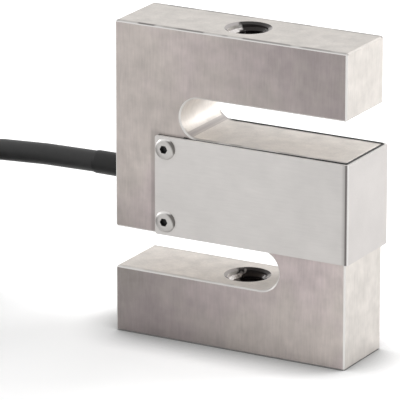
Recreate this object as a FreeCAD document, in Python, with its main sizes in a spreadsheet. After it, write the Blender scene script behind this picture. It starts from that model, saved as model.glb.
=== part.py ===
"""S type load cell: a slotted spring body that carries load between two threaded arms.

The body is one machined block. Two slots, open at opposite ends, leave an upper arm, a middle block
and a lower arm. A double bore through the middle block leaves four thin webs, each with a strain
gauge, and a folded sheet cover on a gasket closes it. The bridge wiring leaves by a cable through
the left leg, whose spare length lies coiled beside the cell.

Millimetres. The origin is on the load axis at the bottom face, +Z is up the load axis, and +X points
to the end that the cover wraps round.
"""
import FreeCAD
import Part
import Sketcher

import math
import os

from FreeCAD import Placement, Rotation, Vector

DRIVING_SIZES = (
    # spring body
    ("body_width", 50.8),
    ("body_height", 63.5),
    ("body_depth", 15.24),
    ("arm_height", 13.4),
    ("slot_height", 8.2),
    ("leg_width", 14.5),
    ("edge_chamfer", 0.3),
    ("thread_diameter", 8.0),
    ("mouth_diameter", 9.3),
    ("mouth_depth", 0.4),
    ("gauge_bore_diameter", 14.0),
    ("gauge_bore_spacing", 16.4),
    ("link_height", 6.0),
    # cover, its gasket and its screws
    ("gasket_thickness", 0.4),
    ("sheet_thickness", 0.5),
    ("fold_radius", 0.15),
    ("cover_length", 41.4),
    ("cover_edge_gap", 0.1),
    ("cover_corner_radius", 0.5),
    ("gasket_window_margin", 0.4),
    ("screw_inset", 2.3),
    ("screw_spacing", 14.8),
    ("screw_rise", 0.15),
    ("screw_diameter", 2.5),
    ("screw_clearance", 0.2),
    ("screw_length", 5.0),
    ("tapped_depth", 5.5),
    ("head_diameter", 4.4),
    ("head_height", 0.7),
    ("head_rim", 0.15),
    ("head_flat", 2.0),
    ("socket_width", 1.5),
    ("socket_depth", 0.8),
    # strain gauges
    ("gauge_length", 5.0),
    ("gauge_width", 4.0),
    ("gauge_thickness", 0.1),
    ("coating_thickness", 0.4),
    ("bond_gap", 0.02),
    # bridge board
    ("board_length", 14.0),
    ("board_height", 5.0),
    ("board_thickness", 0.8),
    ("adhesive_length", 3.2),
    ("adhesive_width", 2.4),
    ("terminal_diameter", 1.0),
    ("terminal_height", 0.6),
    ("core_terminal_inset", 1.3),
    ("core_terminal_rise", 1.3),
    ("gauge_terminal_offset", 3.0),
    ("gauge_terminal_rise", 1.5),
    ("resistor_length", 2.0),
    ("resistor_width", 1.2),
    ("resistor_height", 0.5),
    ("gauge_wire_diameter", 0.25),
    ("gauge_wire_gap", 0.02),
    ("gauge_wire_terminal_gap", 0.15),
    # cable and its entry
    ("cable_height", 31.5),
    ("cable_diameter", 4.3),
    ("cable_bore_diameter", 4.9),
    ("sleeve_diameter", 4.65),
    ("sleeve_reach", 8.7),
    ("sleeve_taper", 0.5),
    ("seal_diameter", 6.4),
    ("seal_depth", 6.0),
    ("seal_recess", 0.3),
    ("crimp_diameter", 6.0),
    ("crimp_length", 3.4),
    ("crimp_wall_gap", 0.25),
    ("jacket_overhang", 0.5),
    ("core_diameter", 0.9),
    ("core_spacing", 1.3),
    ("core_board_gap", 0.05),
    ("core_end_gap", 0.15),
    ("drain_diameter", 0.5),
    ("drain_end_gap", 0.2),
    ("drain_rise", 0.3),
    ("fit_gap", 0.02),
    # spare cable beside the cell
    ("coil_x", -84.5),
    ("coil_y", -25.0),
    ("coil_radius", 25.0),
    ("coil_columns", 4),
    ("coil_turns_high", 5),
    ("coil_column_pitch", 3.77),
    ("coil_turn_pitch", 4.35),
    ("end_sleeve_diameter", 5.0),
    ("lead_diameter", 1.0),
    ("lead_bend_radius", 14.5),
    ("lead_lift", 0.05),
    ("lead_pitch", 0.9),
    ("lead_row_rise", 0.55),
    ("lead_end_gap", 0.3),
    ("tip_diameter", 0.6),
    ("tip_length", 6.0),
)

# The free cable leaves its sleeve straight, droops in one long bend and comes to lie on the coil.
LEAD_ROUTE = ((-34.1, 0, 31.5), (-59, 0, 31.5), (-83, 0, 25.4), (-100.6, -5.85, 23.9))
# The last stretch crosses the top of the coil to the sleeve that its four leads come out of.
TAIL_ROUTE = ((-98.55, -45.07, 24.3), (-88.75, -49.13, 24.3), (-78.16, -48.66, 24.3))
END_SLEEVE_ROUTE = ((-78.16, -48.66, 24.3), (-72.6654, -48.4161, 24.3), (-67.0, -46.5, 24.3))
CORE_COLOURS = ("red", "black", "green", "white")
WIRE_SIDES = 8
CABLE_SIDES = 12
END_LEADS = CORE_COLOURS + ("shield",)
# The end leads bend round beside each other: how far round, in degrees, and their spacing there.
LEAD_FAN = ((18, 1.3), (45, 1.5), (75, 1.9), (105, 2.3))

doc = FreeCAD.newDocument("s_type_load_cell")
sheet = doc.addObject("Spreadsheet::Sheet", "Sizes")
for row, (alias, number) in enumerate(DRIVING_SIZES, start=1):
    sheet.set(f"A{row}", alias)
    sheet.set(f"B{row}", str(number))
    sheet.setAlias(f"B{row}", alias)
doc.recompute()

size = {alias: float(sheet.get(alias)) for alias, _ in DRIVING_SIZES}
nodes = []

# Expressions that several sub-parts share, so that what fits together reads the same sizes.
HALF_WIDTH = "(Sizes.body_width / 2)"
HALF_DEPTH = "(Sizes.body_depth / 2)"
BLOCK_LOW = "(Sizes.arm_height + Sizes.slot_height)"
BLOCK_HIGH = "(Sizes.body_height - Sizes.arm_height - Sizes.slot_height)"
UPPER_ARM = "(Sizes.body_height - Sizes.arm_height)"
MIDDLE = "(Sizes.body_height / 2)"
SLOT_END = f"({HALF_WIDTH} - Sizes.leg_width)"
GAUGE_BORE = "(Sizes.gauge_bore_diameter / 2)"
BORE_OFFSET = "(Sizes.gauge_bore_spacing / 2)"
COVER_LEFT = f"({HALF_WIDTH} - Sizes.cover_length)"
COVER_FACE = f"({HALF_DEPTH} + Sizes.gasket_thickness + Sizes.sheet_thickness)"
SCREW_X = f"({COVER_LEFT} + Sizes.screw_inset)"
SCREW_MIDDLE = "(Sizes.body_height / 2 + Sizes.screw_rise)"
CORE_TERMINAL_X = "(-Sizes.board_length / 2 + Sizes.core_terminal_inset)"


def number(expression):
    """The value of an expression on the sheet."""
    result = sheet.evalExpression(expression)
    return float(getattr(result, "Value", result))


def node(thing, label):
    """Name a finished sub-part, which is written to a file of that name."""
    thing.Label = label
    nodes.append(thing)
    return thing


# --------------------------------------------------------------------------- sketch helpers


def new_body(label):
    body = doc.addObject("PartDesign::Body", label + "_body")
    return node(body, label)


def plane(body, role):
    return next(f for f in body.Origin.OriginFeatures if f.Role == role)


def new_sketch(body, name, role, lift="0"):
    sketch = body.newObject("Sketcher::SketchObject", name)
    sketch.AttachmentSupport = [(plane(body, role), "")]
    sketch.MapMode = "FlatFace"
    sketch.setExpression(".AttachmentOffset.Base.z", lift)
    return sketch


def pin_down(sketch, geometry, point, expressions):
    """Tie a point of a sketch to expressions for its distance from the origin along each axis."""
    for kind, expression in zip(("DistanceX", "DistanceY"), expressions):
        if expression is not None:
            index = sketch.addConstraint(
                Sketcher.Constraint(kind, -1, 1, geometry, point, number(expression))
            )
            sketch.setExpression(f"Constraints[{index}]", expression)


def outline(body, name, role, corners, lift="0"):
    """A closed outline. A corner is (x, y), or (x, y, arc centre x, arc centre y) where an arc leads
    on to the next corner: it bulges away from its centre by the shorter way round."""
    sketch = new_sketch(body, name, role, lift)
    spots = [Vector(number(c[0]), number(c[1]), 0) for c in corners]
    ends = []
    for index, corner in enumerate(corners):
        start, finish = spots[index], spots[(index + 1) % len(spots)]
        if len(corner) == 2:
            sketch.addGeometry(Part.LineSegment(start, finish))
            ends.append((1, 2))
            continue
        centre = Vector(number(corner[2]), number(corner[3]), 0)
        turn = (start - centre).cross(finish - centre).z
        from_spot, to_spot = (start, finish) if turn > 0 else (finish, start)
        angles = [math.atan2(s.y - centre.y, s.x - centre.x) for s in (from_spot, to_spot)]
        circle = Part.Circle(centre, Vector(0, 0, 1), (start - centre).Length)
        sketch.addGeometry(Part.ArcOfCircle(circle, *angles))
        ends.append((1, 2) if turn > 0 else (2, 1))
    for index in range(len(corners)):
        following = (index + 1) % len(corners)
        sketch.addConstraint(
            Sketcher.Constraint(
                "Coincident", index, ends[index][1], following, ends[following][0]
            )
        )
        pin_down(sketch, index, ends[index][0], corners[index][:2])
        if len(corners[index]) == 4:
            # the chord already fixes the centre along its own direction
            chord = spots[following] - spots[index]
            centre_x, centre_y = corners[index][2:]
            flat = abs(chord.x) > abs(chord.y)
            pin_down(sketch, index, 3, (None, centre_y) if flat else (centre_x, None))
    return sketch


def circles(body, name, role, centres, diameter, lift="0"):
    sketch = new_sketch(body, name, role, lift)
    for index, centre in enumerate(centres):
        spot = Vector(number(centre[0]), number(centre[1]), 0)
        sketch.addGeometry(Part.Circle(spot, Vector(0, 0, 1), number(diameter) / 2))
        pin_down(sketch, index, 3, centre)
        constraint = sketch.addConstraint(
            Sketcher.Constraint("Diameter", index, number(diameter))
        )
        sketch.setExpression(f"Constraints[{constraint}]", diameter)
    return sketch


def rectangle(low_x, high_x, low_y, high_y):
    return ((low_x, low_y), (high_x, low_y), (high_x, high_y), (low_x, high_y))


def add(body, kind, name, sketch, length, side="Symmetric"):
    """A pad or a pocket of a sketch, checked to have changed the body's volume."""
    before = body.Shape.Volume if body.Tip else 0.0
    feature = body.newObject("PartDesign::" + kind, name)
    feature.Profile = sketch
    feature.SideType = side
    feature.Type = "Length"
    feature.setExpression("Length", length)
    doc.recompute()
    changed = feature.Shape.Volume - before
    assert changed > 0 if kind == "Pad" else changed < 0, f"{name} changes nothing"
    return feature


def turned(body, kind, name, sketch, axis="V_Axis"):
    """A revolution or a groove about an axis of its sketch."""
    before = body.Shape.Volume if body.Tip else 0.0
    feature = body.newObject("PartDesign::" + kind, name)
    feature.Profile = sketch
    feature.ReferenceAxis = (sketch, [axis])
    feature.Angle = 360
    doc.recompute()
    changed = feature.Shape.Volume - before
    assert changed > 0 if kind == "Revolution" else changed < 0, f"{name} changes nothing"
    return feature


def dress(body, kind, name, wanted, property_name, expression):
    """A fillet or a chamfer of the edges of the body's last feature that the wanted test picks."""
    base = body.Tip
    picked = [f"Edge{i}" for i, e in enumerate(base.Shape.Edges, start=1) if wanted(e)]
    assert picked, f"{name} finds no edges"
    feature = body.newObject("PartDesign::" + kind, name)
    feature.Base = (base, picked)
    feature.setExpression(property_name, expression)
    doc.recompute()
    return feature


def same(one, other):
    return abs(one - other) < 1e-6


# --------------------------------------------------------------------------- spring body


def s_outline():
    """The S: an upper slot open to +X and a lower slot open to -X, both with full round ends."""
    upper_middle = f"({BLOCK_HIGH} + {UPPER_ARM}) / 2"
    lower_middle = f"(Sizes.arm_height + {BLOCK_LOW}) / 2"
    round_end = f"({SLOT_END} - Sizes.slot_height / 2)"
    return (
        (f"-{HALF_WIDTH}", "0"),
        (HALF_WIDTH, "0"),
        (HALF_WIDTH, BLOCK_HIGH),
        (f"-{round_end}", BLOCK_HIGH, f"-{round_end}", upper_middle),
        (f"-{SLOT_END}", upper_middle, f"-{round_end}", upper_middle),
        (f"-{round_end}", UPPER_ARM),
        (HALF_WIDTH, UPPER_ARM),
        (HALF_WIDTH, "Sizes.body_height"),
        (f"-{HALF_WIDTH}", "Sizes.body_height"),
        (f"-{HALF_WIDTH}", BLOCK_LOW),
        (round_end, BLOCK_LOW, round_end, lower_middle),
        (SLOT_END, lower_middle, round_end, lower_middle),
        (round_end, "Sizes.arm_height"),
        (f"-{HALF_WIDTH}", "Sizes.arm_height"),
    )


def make_spring_body():
    body = new_body("spring_body")
    add(body, "Pad", "s_block", outline(body, "s_outline", "XZ_Plane", s_outline()), "Sizes.body_depth")

    half_width, half_depth = number(HALF_WIDTH), number(HALF_DEPTH)

    def outer_edge(edge):
        box = edge.BoundBox
        on_face = same(box.YMin, box.YMax) and same(abs(box.YMin), half_depth)
        on_corner = same(box.XMin, box.XMax) and same(box.ZMin, box.ZMax)
        return on_face or (on_corner and same(abs(box.XMin), half_width))

    dress(body, "Chamfer", "broken_edges", outer_edge, "Size", "Sizes.edge_chamfer")

    for name, low, high in (
        ("lower_thread", "0", "Sizes.arm_height"),
        ("upper_thread", UPPER_ARM, "Sizes.body_height"),
    ):
        profile = (
            ("0", low),
            ("Sizes.mouth_diameter / 2", low),
            ("Sizes.thread_diameter / 2", f"{low} + Sizes.mouth_depth"),
            ("Sizes.thread_diameter / 2", f"{high} - Sizes.mouth_depth"),
            ("Sizes.mouth_diameter / 2", high),
            ("0", high),
        )
        turned(body, "Groove", name, outline(body, name + "_profile", "XZ_Plane", profile))

    bores = [(f"-{BORE_OFFSET}", MIDDLE), (BORE_OFFSET, MIDDLE)]
    sketch = circles(body, "gauge_bore_centres", "XZ_Plane", bores, "Sizes.gauge_bore_diameter")
    add(body, "Pocket", "gauge_bores", sketch, "Sizes.body_depth")
    link = rectangle(
        f"-{BORE_OFFSET}",
        BORE_OFFSET,
        f"{MIDDLE} - Sizes.link_height / 2",
        f"{MIDDLE} + Sizes.link_height / 2",
    )
    add(body, "Pocket", "link", outline(body, "link_outline", "XZ_Plane", link), "Sizes.body_depth")

    cable_axis = [("0", "Sizes.cable_height")]
    sketch = circles(
        body, "cable_bore_circle", "YZ_Plane", cable_axis, "Sizes.cable_bore_diameter", f"-{HALF_WIDTH}"
    )
    pocket_along_x(body, "cable_bore", sketch, f"{HALF_WIDTH} - {BORE_OFFSET}")
    sketch = circles(
        body, "seal_seat_circle", "YZ_Plane", cable_axis, "Sizes.seal_diameter", f"-{HALF_WIDTH}"
    )
    pocket_along_x(body, "seal_seat", sketch, "Sizes.seal_depth")

    centres = [
        (SCREW_X, f"{SCREW_MIDDLE} + Sizes.screw_spacing / 2"),
        (SCREW_X, f"{SCREW_MIDDLE} - Sizes.screw_spacing / 2"),
    ]
    tapped = "Sizes.screw_diameter + 2 * Sizes.fit_gap"
    # the XZ plane faces -Y, so the lift is towards the front face
    sketch = circles(body, "tapped_circles", "XZ_Plane", centres, tapped, HALF_DEPTH)
    front = add(body, "Pocket", "tapped_holes", sketch, "Sizes.tapped_depth", "One side")
    mirrored = body.newObject("PartDesign::Mirrored", "tapped_holes_rear")
    mirrored.Originals = [front]
    mirrored.MirrorPlane = (plane(body, "XZ_Plane"), [""])
    body.Tip = mirrored
    doc.recompute()
    assert mirrored.Shape.Volume < front.Shape.Volume, "the rear tapped holes cut nothing"


def pocket_along_x(body, name, sketch, depth):
    """A pocket from the left face towards +X."""
    before = body.Shape.Volume
    feature = body.newObject("PartDesign::Pocket", name)
    feature.Profile = sketch
    feature.Type = "Length"
    feature.Reversed = True
    feature.setExpression("Length", depth)
    doc.recompute()
    assert feature.Shape.Volume < before, f"{name} cuts nothing"


# --------------------------------------------------------------------------- cover and gasket


def u_outline(inner, outer, inner_radius, outer_radius):
    """Plan of a sheet folded round the block's right end, from offsets off the block's faces."""
    x_out, y_out = f"({HALF_WIDTH} + {outer})", f"({HALF_DEPTH} + {outer})"
    x_in, y_in = f"({HALF_WIDTH} + {inner})", f"({HALF_DEPTH} + {inner})"
    ox, oy = f"({x_out} - {outer_radius})", f"({y_out} - {outer_radius})"
    ix, iy = f"({x_in} - {inner_radius})", f"({y_in} - {inner_radius})"
    return (
        (COVER_LEFT, f"-{y_out}"),
        (ox, f"-{y_out}", ox, f"-{oy}"),
        (x_out, f"-{oy}"),
        (x_out, oy, ox, oy),
        (ox, y_out),
        (COVER_LEFT, y_out),
        (COVER_LEFT, y_in),
        (ix, y_in, ix, iy),
        (x_in, iy),
        (x_in, f"-{iy}", ix, f"-{iy}"),
        (ix, f"-{y_in}"),
        (COVER_LEFT, f"-{y_in}"),
    )


def folded_strip(label, inner, outer, inner_radius, outer_radius, hole_diameter):
    """A strip of even height folded round the block, with its screw holes and rounded ends."""
    body = new_body(label)
    low = f"{BLOCK_LOW} + Sizes.cover_edge_gap"
    height = f"{BLOCK_HIGH} - {BLOCK_LOW} - 2 * Sizes.cover_edge_gap"
    sketch = outline(
        body, label + "_fold", "XY_Plane", u_outline(inner, outer, inner_radius, outer_radius), low
    )
    add(body, "Pad", label + "_strip", sketch, height, "One side")
    left = number(COVER_LEFT)

    def end_corner(edge):
        box = edge.BoundBox
        along_y = same(box.XMin, box.XMax) and same(box.ZMin, box.ZMax) and box.YLength > 1e-6
        return along_y and same(box.XMin, left)

    dress(body, "Fillet", label + "_corners", end_corner, "Radius", "Sizes.cover_corner_radius")
    centres = [
        (SCREW_X, f"{SCREW_MIDDLE} + Sizes.screw_spacing / 2"),
        (SCREW_X, f"{SCREW_MIDDLE} - Sizes.screw_spacing / 2"),
    ]
    sketch = circles(body, label + "_hole_circles", "XZ_Plane", centres, hole_diameter)
    add(body, "Pocket", label + "_holes", sketch, f"4 * {COVER_FACE}")
    return body


def make_cover():
    folded_strip(
        "cover",
        "Sizes.gasket_thickness",
        "(Sizes.gasket_thickness + Sizes.sheet_thickness)",
        "Sizes.fold_radius",
        "(Sizes.fold_radius + Sizes.sheet_thickness)",
        "Sizes.screw_diameter + 2 * Sizes.screw_clearance",
    )


def make_gasket():
    """The gasket frames the gauge bores: a long round-ended window leaves them open to the cover."""
    body = folded_strip(
        "cover_gasket",
        "0",
        "Sizes.gasket_thickness",
        "Sizes.edge_chamfer",
        "(Sizes.edge_chamfer + Sizes.gasket_thickness)",
        "Sizes.screw_diameter + 4 * Sizes.screw_clearance",
    )
    radius = f"({GAUGE_BORE} + Sizes.gasket_window_margin)"
    window = (
        (f"-{BORE_OFFSET}", f"{MIDDLE} - {radius}"),
        (BORE_OFFSET, f"{MIDDLE} - {radius}", BORE_OFFSET, MIDDLE),
        (f"({BORE_OFFSET} + {radius})", MIDDLE, BORE_OFFSET, MIDDLE),
        (BORE_OFFSET, f"{MIDDLE} + {radius}"),
        (f"-{BORE_OFFSET}", f"{MIDDLE} + {radius}", f"-{BORE_OFFSET}", MIDDLE),
        (f"(-{BORE_OFFSET} - {radius})", MIDDLE, f"-{BORE_OFFSET}", MIDDLE),
    )
    sketch = outline(body, "gasket_window", "XZ_Plane", window)
    add(body, "Pocket", "gasket_windows", sketch, f"2 * {COVER_FACE}")


def make_screw(label, side, height_sign):
    """A button-head screw with a hexagon socket, its axis along local Z and its head's underside at 0."""
    body = new_body(label)
    shank = "Sizes.screw_diameter / 2"
    head = "Sizes.head_diameter / 2"
    flat = "Sizes.head_flat / 2"
    profile = (
        ("0", "-Sizes.screw_length"),
        (f"{shank} - Sizes.edge_chamfer", "-Sizes.screw_length"),
        (shank, "-Sizes.screw_length + Sizes.edge_chamfer"),
        (shank, "0"),
        (head, "0"),
        (head, "Sizes.head_rim"),
        (flat, "Sizes.head_height"),
        ("0", "Sizes.head_height"),
    )
    turned(body, "Revolution", label + "_turned", outline(body, label + "_profile", "XZ_Plane", profile))
    across = "(Sizes.socket_width / sqrt(3))"
    hexagon = [(f"{across} * cos({60 * k} deg)", f"{across} * sin({60 * k} deg)") for k in range(6)]
    sketch = outline(body, label + "_hexagon", "XY_Plane", hexagon, "Sizes.head_height")
    add(body, "Pocket", label + "_socket", sketch, "Sizes.socket_depth", "One side")
    body.Placement = Placement(Vector(), Rotation(Vector(1, 0, 0), 90 * side))
    body.setExpression(".Placement.Base.x", SCREW_X)
    body.setExpression(".Placement.Base.y", f"{-side} * {COVER_FACE}")
    rise = f"{height_sign} * Sizes.screw_spacing / 2"
    body.setExpression(".Placement.Base.z", f"{SCREW_MIDDLE} + {rise}")


# --------------------------------------------------------------------------- strain gauges


def sector(x_centre, inner, outer, half_angle, up):
    """An arched strip's section: part of a ring centred on a gauge bore, at its top or bottom."""
    corners = []
    for radius, sign in ((inner, -1), (outer, -1), (outer, 1), (inner, 1)):
        x = f"{x_centre} + {sign} * ({radius}) * sin({half_angle})"
        z = f"{MIDDLE} + {up} * ({radius}) * cos({half_angle})"
        corners.append((x, z))
    corners[1] += (x_centre, MIDDLE)
    corners[3] += (x_centre, MIDDLE)
    return corners


GAUGE_OUTER = f"({GAUGE_BORE} - Sizes.bond_gap)"
GAUGE_INNER = f"({GAUGE_OUTER} - Sizes.gauge_thickness)"
COAT_OUTER = f"({GAUGE_INNER} - Sizes.bond_gap)"
COAT_INNER = f"({COAT_OUTER} - Sizes.coating_thickness)"
GAUGE_HALF_ANGLE = f"(Sizes.gauge_length / {GAUGE_BORE} / 2 * 180 deg / pi)"
PLACES = (("upper_left", -1, 1), ("upper_right", 1, 1), ("lower_left", -1, -1), ("lower_right", 1, -1))


def make_gauges():
    """Each gauge lies in a gauge bore over the web's thinnest line, under its own coat."""
    for place, side, up in PLACES:
        x_centre = f"({side} * {BORE_OFFSET})"
        for label, inner, outer in (
            ("strain_gauge_", GAUGE_INNER, GAUGE_OUTER),
            ("gauge_coat_", COAT_INNER, COAT_OUTER),
        ):
            body = new_body(label + place)
            section = sector(x_centre, inner, outer, GAUGE_HALF_ANGLE, up)
            sketch = outline(body, label + place + "_section", "XZ_Plane", section)
            add(body, "Pad", label + place + "_strip", sketch, "Sizes.gauge_width")


# --------------------------------------------------------------------------- bridge board


def box(label, lengths, centre):
    """A Part box, each side and the centre from expressions."""
    thing = doc.addObject("Part::Box", label)
    for name, axis, length, middle in zip(("Length", "Width", "Height"), "xyz", lengths, centre):
        thing.setExpression(name, length)
        thing.setExpression(f".Placement.Base.{axis}", f"{middle} - ({length}) / 2")
    return thing


def cylinder(label, radius, height, base, rotation=Rotation()):
    thing = doc.addObject("Part::Cylinder", label)
    thing.setExpression("Radius", radius)
    thing.setExpression("Height", height)
    thing.Placement = Placement(Vector(), rotation)
    for axis, expression in zip("xyz", base):
        thing.setExpression(f".Placement.Base.{axis}", expression)
    return thing


def compound(label, things):
    group = doc.addObject("Part::Compound", label)
    group.Links = things
    return node(group, label)


BOARD_FACE = "(Sizes.board_thickness / 2)"


def make_board():
    board = box(
        "bridge_board",
        ("Sizes.board_length", "Sizes.board_thickness", "Sizes.board_height"),
        ("0", "0", MIDDLE),
    )
    node(board, "bridge_board")
    thickness = "(Sizes.link_height - Sizes.board_height) / 2"
    beads = [
        box(
            f"adhesive_{name}",
            ("Sizes.adhesive_length", "Sizes.adhesive_width", thickness),
            ("0", "0", f"{MIDDLE} + {sign} * (Sizes.board_height / 2 + {thickness} / 2)"),
        )
        for name, sign in (("upper", 1), ("lower", -1))
    ]
    compound("board_adhesive", beads)

    terminals = []
    for side, toward in (("front", -1), ("rear", 1)):
        spots = [(CORE_TERMINAL_X, f"{up} * Sizes.core_terminal_rise") for up in (1, -1)]
        spots += [
            (f"{along} * Sizes.gauge_terminal_offset", f"{up} * Sizes.gauge_terminal_rise")
            for along in (-1, 1)
            for up in (1, -1)
        ]
        for index, (x, rise) in enumerate(spots):
            base = (x, f"{toward} * {BOARD_FACE}", f"{MIDDLE} + {rise}")
            terminal = doc.addObject("Part::Prism", f"terminal_{side}_{index}")
            terminal.Polygon = WIRE_SIDES
            terminal.setExpression("Circumradius", "Sizes.terminal_diameter / 2")
            terminal.setExpression("Height", "Sizes.terminal_height")
            terminal.Placement = Placement(Vector(), Rotation(Vector(1, 0, 0), -90 * toward))
            for axis, expression in zip("xyz", base):
                terminal.setExpression(f".Placement.Base.{axis}", expression)
            terminals.append(terminal)
    compound("solder_terminals", terminals)

    lengths = ("Sizes.resistor_length", "Sizes.resistor_height", "Sizes.resistor_width")
    depth = f"{BOARD_FACE} + Sizes.resistor_height / 2"
    for label, x, toward, rise in (
        ("span_resistor_positive", "0", -1, "Sizes.core_terminal_rise"),
        ("span_resistor_negative", "0", -1, "-Sizes.core_terminal_rise"),
        ("zero_balance_resistor", "0", 1, "0"),
    ):
        thing = box(label, lengths, (x, f"{toward} * ({depth})", f"{MIDDLE} + {rise}"))
        node(thing, label)


# --------------------------------------------------------------------------- round parts on paths


def path_of(points):
    """Straight runs joined by tangent arcs. Each arc takes 0.45 of the shorter of its two runs."""
    spots = [Vector(*p) for p in points]
    edges, radii, last = [], [], spots[0]
    for before, corner, after in zip(spots, spots[1:], spots[2:]):
        arrive, leave = corner - before, after - corner
        reach = 0.45 * min(arrive.Length, leave.Length)
        turn = arrive.getAngle(leave)
        radii.append(reach / math.tan(turn / 2))
        start = corner - arrive.normalize() * reach
        finish = corner + leave.normalize() * reach
        inward = (leave - arrive).normalize()
        middle = corner + inward * (radii[-1] / math.cos(turn / 2) - radii[-1])
        edges.append(Part.LineSegment(last, start).toShape())
        edges.append(Part.Arc(start, middle, finish).toShape())
        last = finish
    edges.append(Part.LineSegment(last, spots[-1]).toShape())
    return Part.Wire(edges), radii


def tube_shape(points, diameter, sides=0):
    """A tube along points: round, or with flat sides where a thin wire is kept light."""
    path, radii = path_of(points)
    start, heading = Vector(*points[0]), Vector(*points[1]) - Vector(*points[0])
    circle = Part.makeCircle(diameter / 2, start, heading)
    if sides:
        corners = circle.discretize(Number=sides + 1)
        ring = Part.makePolygon(corners[:-1] + corners[:1])
        section = sides / 2 * (diameter / 2) ** 2 * math.sin(2 * math.pi / sides)
    else:
        ring = Part.Wire([circle])
        section = math.pi * diameter**2 / 4
    solid = path.makePipeShell([ring], True, False)
    assert same_share(solid.Volume, section * path.Length), "a tube's volume is off"
    return solid, radii


def same_share(one, other):
    return abs(one - other) < 0.01 * abs(other)


def tubes(label, routes, diameter, sides=0):
    """One or more tubes along routes, as one node."""
    made = [tube_shape(route, diameter, sides) for route in routes]
    shape = made[0][0] if len(made) == 1 else Part.Compound([solid for solid, _ in made])
    feature = doc.addObject("Part::Feature", label)
    feature.Shape = shape
    feature.Placement = Placement()
    return node(feature, label), [radii for _, radii in made]


def tube_along_x(label, outer, inner, start, finish):
    """A plain ring on the cable's axis between two places along X."""
    along = Rotation(Vector(0, 1, 0), 90)
    length = f"({finish}) - ({start})"
    outside = cylinder(label + "_outside", outer, length, (start, "0", "Sizes.cable_height"), along)
    inside = cylinder(label + "_inside", inner, length, (start, "0", "Sizes.cable_height"), along)
    cut = doc.addObject("Part::Cut", label)
    cut.Base, cut.Tool = outside, inside
    return cut


# --------------------------------------------------------------------------- cable entry

SLEEVE_END = f"(-{HALF_WIDTH} - Sizes.sleeve_reach)"
SEAT_END = f"(-{HALF_WIDTH} + Sizes.seal_depth)"
CRIMP_START = (
    f"(-{BORE_OFFSET} - sqrt({GAUGE_BORE} * {GAUGE_BORE}"
    " - Sizes.crimp_diameter * Sizes.crimp_diameter / 4) + Sizes.crimp_wall_gap)"
)
JACKET_END = f"({CRIMP_START} + Sizes.crimp_length + Sizes.jacket_overhang)"


def make_cable_entry():
    jacket = cylinder(
        "cable_jacket_inner",
        "Sizes.cable_diameter / 2",
        f"{JACKET_END} - {SLEEVE_END}",
        (SLEEVE_END, "0", "Sizes.cable_height"),
        Rotation(Vector(0, 1, 0), 90),
    )
    node(jacket, "cable_jacket_inner")
    snug = "(Sizes.cable_diameter / 2 + Sizes.fit_gap)"
    sleeve = new_body("cable_sleeve")
    long, wide = f"({SEAT_END} - {SLEEVE_END})", "Sizes.sleeve_diameter / 2"
    profile = (
        (snug, "0"),
        (wide, "0"),
        (wide, f"{long} - Sizes.sleeve_taper"),
        (f"({snug} + {wide}) / 2", long),
        (snug, long),
    )
    turned(sleeve, "Revolution", "sleeve_turned", outline(sleeve, "sleeve_wall", "XZ_Plane", profile))
    sleeve.Placement = Placement(Vector(), Rotation(Vector(0, 1, 0), -90))
    sleeve.setExpression(".Placement.Base.x", SEAT_END)
    sleeve.setExpression(".Placement.Base.z", "Sizes.cable_height")
    around = "(Sizes.sleeve_diameter / 2 + Sizes.fit_gap)"
    seal = tube_along_x(
        "cable_seal",
        "Sizes.seal_diameter / 2 - Sizes.fit_gap",
        around,
        f"-{HALF_WIDTH} + Sizes.seal_recess",
        SEAT_END,
    )
    node(seal, "cable_seal")
    crimp = tube_along_x(
        "cable_crimp",
        "Sizes.crimp_diameter / 2",
        snug,
        CRIMP_START,
        f"{CRIMP_START} + Sizes.crimp_length",
    )
    node(crimp, "cable_crimp")


def make_inner_wiring():
    """The four cores run from the stripped jacket to the board's end, two on each of its faces."""
    start = number(JACKET_END) + size["core_end_gap"]
    finish = number(CORE_TERMINAL_X) - size["terminal_diameter"] / 2 - size["core_end_gap"]
    middle = number(MIDDLE)
    bundle = size["core_spacing"] / 2
    beside_board = size["board_thickness"] / 2 + size["core_diameter"] / 2 + size["core_board_gap"]
    ends = ((-1, 1), (-1, -1), (1, 1), (1, -1))
    for colour, (toward, up) in zip(CORE_COLOURS, ends):
        route = (
            (start, toward * bundle, size["cable_height"] + up * bundle),
            (finish, toward * beside_board, middle + up * size["core_terminal_rise"]),
        )
        tubes(f"core_{colour}", [route], size["core_diameter"], WIRE_SIDES)

    drain_end = -size["board_length"] / 2 - size["drain_end_gap"]
    drain = (
        (start, 0, size["cable_height"]),
        (drain_end, 0, size["cable_height"] + size["drain_rise"]),
    )
    tubes("shield_drain", [drain], size["drain_diameter"], WIRE_SIDES)

    routes = []
    inner = number(COAT_INNER) - size["gauge_wire_diameter"] / 2 - size["gauge_wire_gap"]
    angle = 0.8 * size["gauge_length"] / size["gauge_bore_diameter"]
    to_x = (
        size["gauge_terminal_offset"]
        + size["terminal_diameter"] / 2
        + size["gauge_wire_terminal_gap"]
    )
    for _, side, up in PLACES:
        x_bore = side * number(BORE_OFFSET)
        from_x = x_bore - side * inner * math.sin(angle)
        from_z = middle + up * inner * math.cos(angle)
        to_z = middle + up * size["gauge_terminal_rise"]
        for toward in (-1, 1):
            depth = toward * (size["board_thickness"] / 2 + size["terminal_height"] / 2)
            routes.append(((from_x, depth, from_z), (side * to_x, depth, to_z)))
    tubes("gauge_wires", routes, size["gauge_wire_diameter"], WIRE_SIDES)


# --------------------------------------------------------------------------- spare cable


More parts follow.
